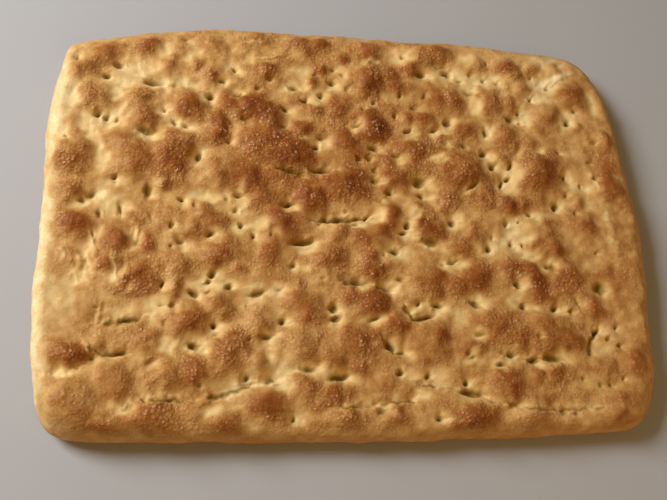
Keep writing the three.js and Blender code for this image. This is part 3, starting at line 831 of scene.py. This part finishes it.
    def _wrinkles(self, spots: Spots) -> Values:
        """Strews thin raised wrinkles over the skin, upright on the left side and level elsewhere.

        Args:
            spots: the points' places.

        Returns:
            Their height at each point.
        """
        upright, level = (
            (1 - np.abs(swell.at(spots * np.array(squeeze)[:, None])).clip(0, 1)) ** self.wrinkle_edge
            for swell, squeeze in self.wrinkles
        )
        left = fade(spots[0], *self.upright_range)
        return self.wrinkle_height * (upright * left + level * (1 - left))


# ------------------------------------------------------------------ plan and side
@dataclass(frozen=True)
class Plan:
    """The bread's outline at its widest line, taken from the CAD solid.

    Attributes:
        directions: evenly spaced directions round the middle, in radians.
        reach: the outline's distance from the middle in each direction.
        half: half the length and half the width.
    """

    directions: Values
    reach: Values
    half: Values

    STEPS = 720
    LEVEL_TOLERANCE = 0.05

    @classmethod
    def of_node(cls, solid: bpy.types.Object) -> "Plan":
        """Reads the outline from the ring of the CAD solid's vertices at its widest line.

        Args:
            solid: the node's object.

        Returns:
            The plan, in millimetres.
        """
        points = np.empty(len(solid.data.vertices) * 3)
        solid.data.vertices.foreach_get("co", points)
        x, y, z = points.reshape(-1, 3).T / MM
        half = np.array([np.abs(x).max(), np.abs(y).max()])
        rim = np.abs(z - z[np.abs(x).argmax()]) < cls.LEVEL_TOLERANCE
        directions = np.linspace(-math.pi, math.pi, cls.STEPS, endpoint=False)
        turn, reach = np.arctan2(y[rim], x[rim]), np.hypot(x[rim], y[rim])
        order = np.argsort(turn)
        reach = np.interp(directions, turn[order], reach[order], period=math.tau)
        even = (np.roll(reach, -1) + 2 * reach + np.roll(reach, 1)) / 4
        return cls(directions, even, half)

    def place(self, square: Spots, inset: Values) -> Spots:
        """Maps the blank's square, from -1 to 1 each way, into the outline.

        Args:
            square: places on the square.
            inset: how far the outline is drawn in at each point.

        Returns:
            The points' places.
        """
        rim = np.abs(square).max(axis=0).clip(TINY)
        turn = np.arctan2(square[1] / rim * self.half[1], square[0] / rim * self.half[0])
        reach = rim * np.interp(turn, self.directions, self.reach, period=math.tau)
        return reach * [np.cos(turn), np.sin(turn)] * (1 - inset / self.half[:, None])


@dataclass(frozen=True)
class Side:
    """The side's profile: a rounded shoulder, a widest line and a foot that tucks in."""

    shoulder: float = 11.0  # how far in from the widest line the shoulder begins
    bulge: float = 9.5  # height of the widest line
    bulge_swell: Layers = ((1.2, Swell(60, 23)),)  # its unevenness
    tuck: float = 4.5  # how far the foot turns in
    foot_sweep: float = math.radians(72)  # how far round the foot turns under
    shoulder_rings: int = 8
    foot_rings: int = 5
    ring_step: float = 2.1  # how far apart the rings lie along the skin
    bumps: Layers = ((0.9, Swell(34, 21)),)  # swells of the side along the plan
    dents: Layers = ((0.6, Swell(13, 22)), (0.3, Swell(6, 26)))  # and along the skin
    smooth_rings: tuple[int, int] = (4, 1)  # where they fade: below the top, and round the foot's end

    @property
    def rings(self) -> int:
        """The number of rings from the top's edge to the bottom's."""
        return self.shoulder_rings + self.foot_rings

    def profile(self, ring: Values) -> tuple[Values, Values, Values]:
        """Gives the side's shape at each ring, counted down from the top's edge.

        Args:
            ring: the ring's number, 0 for the top itself.

        Returns:
            The inset from the widest line, the share of the height over the widest line, and
            the height under it as a share of the widest line's height.
        """
        down = np.clip(ring / self.shoulder_rings, 0, 1) * math.pi / 2
        under = np.clip((ring - self.shoulder_rings) / self.foot_rings, 0, 1) * self.foot_sweep
        inset = self.shoulder * (1 - np.sin(down)) + self.tuck * (1 - np.cos(under))
        return inset, np.cos(down), 1 - np.sin(under) / math.sin(self.foot_sweep)

    def unevenness(self, ring: Values, spots: Spots, skin: Spots) -> Values:
        """Swells and dents the side.

        Args:
            ring: the number of each point's ring.
            spots: the points' places in the plan.
            skin: the same, with the side's skin laid flat.

        Returns:
            How far each point is pushed outwards.
        """
        below_top, at_end = self.smooth_rings
        share = fade(ring, 0, below_top) * fade(ring, self.rings + at_end, self.rings - at_end)
        return share * (heave(self.bumps, spots) + heave(self.dents, skin))


# ------------------------------------------------------------------ finishes
@dataclass(frozen=True)
class BakedCrust:
    """Crust of an oil-rich wheat bread, baked in an oiled pan and blistered by the oven's heat.

    Its colour runs from pale cream in the dimples, where the oil pooled and the heat didn't
    reach, over gold to a deep brown on the mounds. The dishes' floors take a moist dough's olive
    tone, which is partly painted shade. The browned skin is strewn with blisters of one to two
    millimetres, bumps whose tops carry a painted highlight that breaks its thin oily shine into
    points, while the pale skin is smooth and satin. The deep ends of holes and the lines of folds
    are painted dark, a painted shade. The side, which the pan shielded, is golden, and the foot
    and the bottom are fried a deeper gold against the oiled metal.
    """

    shades: tuple[tuple[float, str], ...] = (
        (0.00, "#EEDDB0"),
        (0.20, "#DEC48E"),
        (0.40, "#C69A5E"),
        (0.58, "#AA7840"),
        (0.76, "#915220"),
        (1.00, "#6B300D"),
    )
    side_shades: tuple[tuple[float, str], ...] = (
        (0.10, "#EAC890"),
        (0.40, "#D49A58"),
        (0.75, "#BE7838"),
        (1.00, "#A4652C"),
    )
    moist_and_painted_shade: str = "#D8B06C"  # dough that stayed moist under the oil, and painted shade that darkens the dishes' floors to olive
    painted_pit_shade: str = "#7A5A0C"  # painted shade at the deep end of a hole and along a fold's line
    painted_glint_shade: str = "#EFB982"  # a painted highlight on a blister's lifted skin
    painted_glint_strength: float = 0.85
    sheen_shade: str = "#FFDDAE"  # the oil's shine on the warm crust
    blister_size: float = 2.4
    noise_sizes: tuple[tuple[str, float], ...] = (("mottle", 7.0), ("patch", 14.0), ("speckle", 1.5))

    # What shifts a value of the skin: (the new value, the noise or value off 0.5, its strength,
    # the value it shifts)
    shifts: tuple[tuple[str, str, float, str], ...] = (
        ("bake", "mottle", 0.26, "browning"),
        ("wet", "speckle", 0.6, "hollow"),
        ("side", "mottle", 0.5, "flank"),
        ("side bake", "browning", 0.8, "side"),
    )
    # What follows a value of the skin between two limits: (its name, the value, the limits, what
    # it is at each of them)
    shares: tuple[tuple[str, str, tuple[float, float], tuple[float, float]], ...] = (
        ("roughness", "speckle", (0.0, 1.0), (0.45, 0.65)),
        ("blistered", "grain", (0.0, 1.0), (0.08, 1.0)),
        ("speckled", "grain", (0.0, 1.0), (0.2, 0.72)),
        ("in dish", "wet", (0.0, 1.0), (0.0, 0.7)),
        ("on side", "side", (0.30, 0.58), (0.0, 0.85)),
        ("in hole", "pit", (0.12, 0.8), (0.0, 0.85)),
        ("lifted here", "blister kind", (0.40, 0.60), (0.0, 1.0)),
        ("lifted patch", "patch", (0.38, 0.60), (0.0, 1.0)),
        ("lifted speckle", "speckle", (0.38, 0.54), (0.0, 1.0)),
        ("lifted crust", "grain", (0.0, 1.0), (0.2, 1.0)),
    )
    blister_edge: tuple[float, float] = (0.72, 0.12)  # from where a blister begins to where it is full
    # The heights of the bumps: (the value they follow, where they show, height, whether they sink)
    bumps: tuple[tuple[str, str | None, float, bool], ...] = (
        ("off blister", "blistered", 0.5, True),
        ("blister", None, 0.6, False),
        ("speckle", "blistered", 0.7, False),
    )

    def material(self) -> bpy.types.Material:
        """Makes the crust's material, which reads the piece's own attributes.

        Returns:
            The material.
        """
        crust = bpy.data.materials.new("Wheat crust, pan baked")
        crust.use_nodes = True
        tree = crust.node_tree
        tree.nodes.clear()
        skin = self._skin(tree)
        normal = {}
        for height, strength, distance, sinks in self.bumps:
            links = {"Height": skin[height], "Distance": distance * MM, **normal}
            if strength:
                links["Strength"] = skin[strength]
            normal["Normal"] = add_node(tree, "ShaderNodeBump", links, invert=sinks).outputs["Normal"]
        shader = add_node(
            tree,
            "ShaderNodeBsdfPrincipled",
            {
                "Base Color": self._colour(tree, skin),
                "Roughness": skin["roughness"],
                "Normal": normal["Normal"],
                "IOR": 1.45,
                "Subsurface Weight": 0.16,
                "Subsurface Radius": (1.0, 0.5, 0.2),
                "Subsurface Scale": 2.5 * MM,
                "Specular IOR Level": 0.22,
                "Specular Tint": linear(self.sheen_shade),
                "Coat Weight": 0.05,
                "Coat Roughness": 0.28,
                "Coat Normal": normal["Normal"],
            },
        )
        add_node(tree, "ShaderNodeOutputMaterial", {"Surface": shader.outputs["BSDF"]})
        return crust

    def _skin(self, tree: Tree) -> dict[str, Socket]:
        """Gathers the values that the crust's colour, shine and bumps follow.

        Args:
            tree: the material's node tree.

        Returns:
            The sockets of the piece's attributes, of the noises and of what they give, by name.
        """
        place = add_node(tree, "ShaderNodeTexCoord").outputs["Object"]
        skin = {
            name: add_node(tree, "ShaderNodeAttribute", attribute_name=name).outputs["Fac"]
            for name in ("browning", "hollow", "pit", "grain", "flank")
        }
        for name, size in self.noise_sizes:
            links = {"Vector": place, "Scale": 1 / (size * MM), "Detail": 2.0, "Roughness": 0.5}
            skin[name] = add_node(tree, "ShaderNodeTexNoise", links).outputs["Fac"]
        links = {"Vector": place, "Scale": 1 / (self.blister_size * MM), "Smoothness": 0.35}
        blisters = add_node(tree, "ShaderNodeTexVoronoi", links, feature="SMOOTH_F1")
        skin["off blister"], skin["blister kind"] = blisters.outputs["Distance"], blisters.outputs["Color"]

        for name, shifting, strength, shifted in self.shifts:
            change = add_node(tree, "ShaderNodeMath", {0: skin[shifting], 1: 0.5}, operation="SUBTRACT")
            links = {0: change.outputs[0], 1: strength, 2: skin[shifted]}
            skin[name] = add_node(tree, "ShaderNodeMath", links, operation="MULTIPLY_ADD").outputs[0]
        for name, followed, (start, end), (least, most) in self.shares:
            links = {"Value": skin[followed], "From Min": start, "From Max": end}
            links |= {"To Min": least, "To Max": most}
            skin[name] = add_node(tree, "ShaderNodeMapRange", links).outputs["Result"]

        # bubbles that have lifted the skin, in loose patches and most of all on brown crust: bumps, with a
        # painted highlight on their tops
        start, end = self.blister_edge
        links = {"Value": skin["off blister"], "From Min": start, "From Max": end}
        dome = add_node(tree, "ShaderNodeMapRange", links, interpolation_type="SMOOTHSTEP")
        skin["blister"] = dome.outputs["Result"]
        for name in ("lifted here", "lifted patch", "lifted speckle", "lifted crust"):
            links = {0: skin["blister"], 1: skin[name]}
            skin["blister"] = add_node(tree, "ShaderNodeMath", links, operation="MULTIPLY").outputs[0]
        # the painted highlight on the blisters' tops
        links = {0: skin["blister"], 1: self.painted_glint_strength}
        skin["painted glint"] = add_node(tree, "ShaderNodeMath", links, operation="MULTIPLY").outputs[0]
        return skin

    def _colour(self, tree: Tree, skin: dict[str, Socket]) -> Socket:
        """Builds the crust's colour.

        Args:
            tree: the material's node tree.
            skin: the sockets of the values that the crust follows, by name.

        Returns:
            The colour's socket.
        """
        links = {0: skin["speckle"], 1: 0.5}
        speck = add_node(tree, "ShaderNodeMath", links, operation="SUBTRACT").outputs[0]
        links = {0: speck, 1: skin["speckled"], 2: skin["bake"]}
        bake = add_node(tree, "ShaderNodeMath", links, operation="MULTIPLY_ADD").outputs[0]
        baked = []
        for value, shades in (bake, self.shades), (skin["side bake"], self.side_shades):
            ramp = add_node(tree, "ShaderNodeValToRGB", {"Fac": value})
            elements = ramp.color_ramp.elements
            while len(elements) < len(shades):
                elements.new(0.5)
            for element, (position, shade) in zip(elements, shades):
                element.position = position
                element.color = linear(shade)
            baked.append(ramp.outputs["Color"])
        colour, side = baked
        # mixed over the baked colour: the moist tone, partly painted shade, in the dishes; the painted
        # glint; the side's colour; painted shade in holes and folds' lines
        for share, over in {
            "in dish": linear(self.moist_and_painted_shade),
            "painted glint": linear(self.painted_glint_shade),
            "on side": side,
            "in hole": linear(self.painted_pit_shade),
        }.items():
            links = {"Factor": skin[share], 6: colour, 7: over}
            colour = add_node(tree, "ShaderNodeMix", links, data_type="RGBA").outputs[2]
        return colour


@dataclass(frozen=True)
class PaintedFloor:
    """A pale matt floor, as of painted board, which gives the eye nothing but a soft shadow."""

    shade: str = "#A9A8A8"
    roughness: float = 0.7

    def material(self) -> bpy.types.Material:
        """Makes the floor's material.

        Returns:
            The material.
        """
        paint = bpy.data.materials.new("Matt painted board")
        paint.use_nodes = True
        shader = paint.node_tree.nodes["Principled BSDF"]
        shader.inputs["Base Color"].default_value = linear(self.shade)
        shader.inputs["Roughness"].default_value = self.roughness
        return paint


# ------------------------------------------------------------------ the bread
@dataclass
class Focaccia:
    """The bread: a closed skin of top, side and bottom, shaped from a flat blank.

    Attributes:
        plan: its outline.
        relief: the shape and bake of its top.
        side: its side's profile.
        crust: its finish.
        cells: the top's cells along X and along Y.
        bottom_rings: the sizes of the rings from the foot to the bottom's middle, as shares.
        bottom_arch: how far the bottom's middle stands off the floor.
        arch_reach: the share of the bottom's size inside which it stands off that far.
        flank_smooth: the share of the blisters that the lowest skin lacks.
    """

    plan: Plan
    relief: Relief
    side: Side = field(default_factory=Side)
    crust: BakedCrust = field(default_factory=BakedCrust)
    cells: tuple[int, int] = (268, 190)
    bottom_rings: tuple[float, ...] = (0.985, 0.94, 0.82, 0.6)
    bottom_arch: float = 1.2
    arch_reach: float = 0.7
    flank_smooth: float = 0.8

    def build(self) -> None:
        """Makes the bread, dresses it and puts it on its body."""
        mesh = bpy.data.meshes.new("Focaccia")
        blank = self._blank()
        blank.to_mesh(mesh)
        blank.free()
        self._shape(mesh)
        mesh.shade_smooth()
        piece = show(bpy.data.objects.new("Focaccia_crust", mesh))
        mesh.materials.append(self.crust.material())
        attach(piece, "root")
        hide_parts(NODE)
        triangles = sum(len(face.vertices) - 2 for face in mesh.polygons)
        log.info("%s: %d vertices, %d triangles", piece.name, len(mesh.vertices), triangles)

    def _blank(self) -> bmesh.types.BMesh:
        """Makes the closed blank: x and y run from -1 to 1, and -z counts the rings downwards.

        Returns:
            The blank, whose rings under the side's last one lie inside the bottom.
        """
        blank = bmesh.new()
        bmesh.ops.create_grid(blank, x_segments=self.cells[0], y_segments=self.cells[1], size=1)
        self._refine(blank)
        edge = [e for e in blank.edges if e.is_boundary]
        for _ in range(self.side.rings):
            edge = self._next_ring(blank, edge, 1.0)
        shrunk = 1.0
        for share in self.bottom_rings:
            edge = self._next_ring(blank, edge, share / shrunk)
            shrunk = share
        bmesh.ops.contextual_create(blank, geom=edge)
        bmesh.ops.recalc_face_normals(blank, faces=blank.faces)
        return blank

    def _refine(self, blank: bmesh.types.BMesh) -> None:
        """Halves the top's cells where the relief has holes and folds.

        Args:
            blank: the blank, of which only the top is there yet.
        """
        blank.verts.index_update()
        square = np.array([vert.co[:2] for vert in blank.verts]).T
        detailed = self.relief.needs_detail(self.plan.place(square, self.side.shoulder))
        cells = [f for f in blank.faces if any(detailed[vert.index] for vert in f.verts)]
        edges = {e for face in cells for e in face.edges if not e.is_boundary}
        bmesh.ops.subdivide_edges(blank, edges=list(edges), cuts=1, use_grid_fill=True)
        log.info("refined %d cells of the top", len(cells))

    @staticmethod
    def _next_ring(blank: bmesh.types.BMesh, edge: list, scale: float) -> list:
        """Extrudes the open edge one step down.

        Args:
            blank: the blank.
            edge: its open edge.
            scale: how far the new ring is drawn in.

        Returns:
            The new open edge.
        """
        made = bmesh.ops.extrude_edge_only(blank, edges=edge)["geom"]
        points = [g for g in made if isinstance(g, bmesh.types.BMVert)]
        bmesh.ops.translate(blank, vec=(0, 0, -1), verts=points)
        bmesh.ops.scale(blank, vec=(scale, scale, 1), verts=points)
        ring = set(points)
        return [g for g in made if isinstance(g, bmesh.types.BMEdge) and set(g.verts) <= ring]

    def _shape(self, mesh: bpy.types.Mesh) -> None:
        """Moves the blank's points to the bread's surface and stores what the crust reads.

        Args:
            mesh: the blank's mesh.
        """
        points = np.empty(len(mesh.vertices) * 3)
        mesh.vertices.foreach_get("co", points)
        *square, depth = points.reshape(-1, 3).T
        ring = -depth
        inset, over, under = self.side.profile(ring)
        spots = self.plan.place(np.array(square), inset)
        reach = np.hypot(*spots).clip(TINY)
        skin = spots * (1 + ring.clip(0, self.side.rings) * self.side.ring_step / reach)
        land = self.relief.survey(skin)

        bulge = self.side.bulge + heave(self.side.bulge_swell, spots)
        on_shoulder = ring <= self.side.shoulder_rings
        z = np.where(on_shoulder, bulge + (land.height - bulge) * over, bulge * under)
        arch = self.bottom_arch * fade(np.abs(square).max(axis=0), 1.0, self.arch_reach)
        z = np.where(ring > self.side.rings, arch, z)
        x, y = spots * (1 + self.side.unevenness(ring, spots, skin) / reach)
        y -= land.slant * over
        mesh.vertices.foreach_set("co", (np.stack([x, y, z], axis=1) * MM).ravel())
        mesh.update()

        # 0 on the top, a half at the widest line and 1 at the foot
        flank = np.where(over > 0, fade(ring, 0, self.side.shoulder_rings) / 2, 1 - under / 2)
        for name, values in {
            "browning": land.browning,
            "hollow": land.hollow * over,
            "pit": land.pit * over,
            "grain": land.grain * (1 - self.flank_smooth * flank),
            "flank": flank,
        }.items():
            layer = mesh.attributes.new(name, "FLOAT", "POINT")
            layer.data.foreach_set("value", values.astype(np.float32))


# ------------------------------------------------------------------ studio
@dataclass(frozen=True)
class Lamp:
    """A square soft light that faces the bread.

    Attributes:
        name: its name.
        place: where it stands.
        size: its side.
        watts: its power.
        shade: its colour.
    """

    name: str
    place: Place
    size: float
    watts: float
    shade: str

    def build(self) -> None:
        """Puts the light in the scene."""
        data = bpy.data.lights.new(self.name, "AREA")
        data.size = self.size * MM
        data.energy = self.watts
        data.color = linear(self.shade)[:3]
        lamp = show(bpy.data.objects.new(self.name, data))
        lamp.location = Vector(self.place) * MM
        lamp.rotation_euler = (-lamp.location).to_track_quat("-Z", "Y").to_euler()


@dataclass(frozen=True)
class Studio:
    """A plain pale floor, a soft light from the far left and a dim fill from the near right."""

    floor_radius: float = 1500.0
    floor_sides: int = 96
    floor: PaintedFloor = field(default_factory=PaintedFloor)
    lamps: tuple[Lamp, ...] = (
        Lamp("Key light", (-1200, 560, 950), 650.0, 34.0, "#F8FBFF"),
        Lamp("Fill light", (750, -1100, 850), 1400.0, 6.5, "#FFC876"),
    )
    sky_shade: str = "#F2D5A2"
    sky_strength: float = 0.20
    wall_shade: str = "#B4B0AA"

    def build(self) -> None:
        """Makes the floor, the lights and the sky, which looks like a plain pale wall."""
        self._floor()
        for lamp in self.lamps:
            lamp.build()
        world = bpy.data.worlds.new("Soft sky")
        world.use_nodes = True
        tree = world.node_tree
        tree.nodes.clear()
        links = {"Color": linear(self.sky_shade), "Strength": self.sky_strength}
        sky = add_node(tree, "ShaderNodeBackground", links).outputs[0]
        wall = add_node(tree, "ShaderNodeBackground", {"Color": linear(self.wall_shade)}).outputs[0]
        seen = add_node(tree, "ShaderNodeLightPath").outputs["Is Camera Ray"]
        both = add_node(tree, "ShaderNodeMixShader", {"Fac": seen, 1: sky, 2: wall}).outputs[0]
        add_node(tree, "ShaderNodeOutputWorld", {"Surface": both})
        bpy.context.scene.world = world
        bpy.context.scene.view_settings.view_transform = "Standard"

    def _floor(self) -> None:
        """Makes the round floor under the bread."""
        sheet = bmesh.new()
        radius = self.floor_radius * MM
        bmesh.ops.create_circle(sheet, cap_ends=True, segments=self.floor_sides, radius=radius)
        mesh = bpy.data.meshes.new("Floor")
        sheet.to_mesh(mesh)
        sheet.free()
        floor = show(bpy.data.objects.new("Floor", mesh))
        mesh.materials.append(self.floor.material())
        log.info("%s: %d sides", floor.name, len(mesh.vertices))


def main() -> None:
    """Builds the camera, the studio and the bread."""
    logging.basicConfig(level=logging.INFO, format="%(name)s %(message)s", stream=sys.stdout)
    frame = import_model()
    sight = Sight()
    sight.build()
    Studio().build()
    Focaccia(Plan.of_node(frame["nodes"][NODE]), Relief(sight)).build()


if __name__ == "__main__":
    main()
